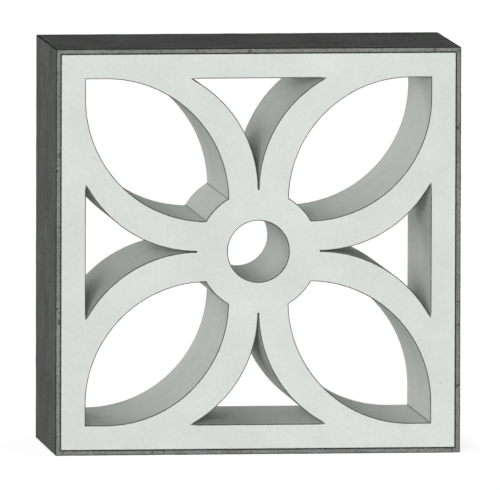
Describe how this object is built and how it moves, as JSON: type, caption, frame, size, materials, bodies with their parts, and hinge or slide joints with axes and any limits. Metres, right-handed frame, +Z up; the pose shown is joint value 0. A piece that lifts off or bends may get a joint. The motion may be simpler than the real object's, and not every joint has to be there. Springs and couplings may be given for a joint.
{
  "type": "ventilation block",
  "caption": "Square pierced concrete block in its mortar joint, letting air and light through a wall by leaf and eye shaped openings round a holed hub.",
  "frame": {"origin": "middle of the underside, on the ground that the unit stands on", "axes": "+X along the wall, +Y through the wall from the front face to the back face, +Z up"},
  "size_m": [0.4, 0.19, 0.4],
  "materials": {
    "concrete": "fine cast, matt",
    "mortar": "sandy, struck flush"
  },
  "bodies": {
    "root": {"ventilation_block": "concrete", "mortar_joint": "mortar"}
  },
  "joints": []
}
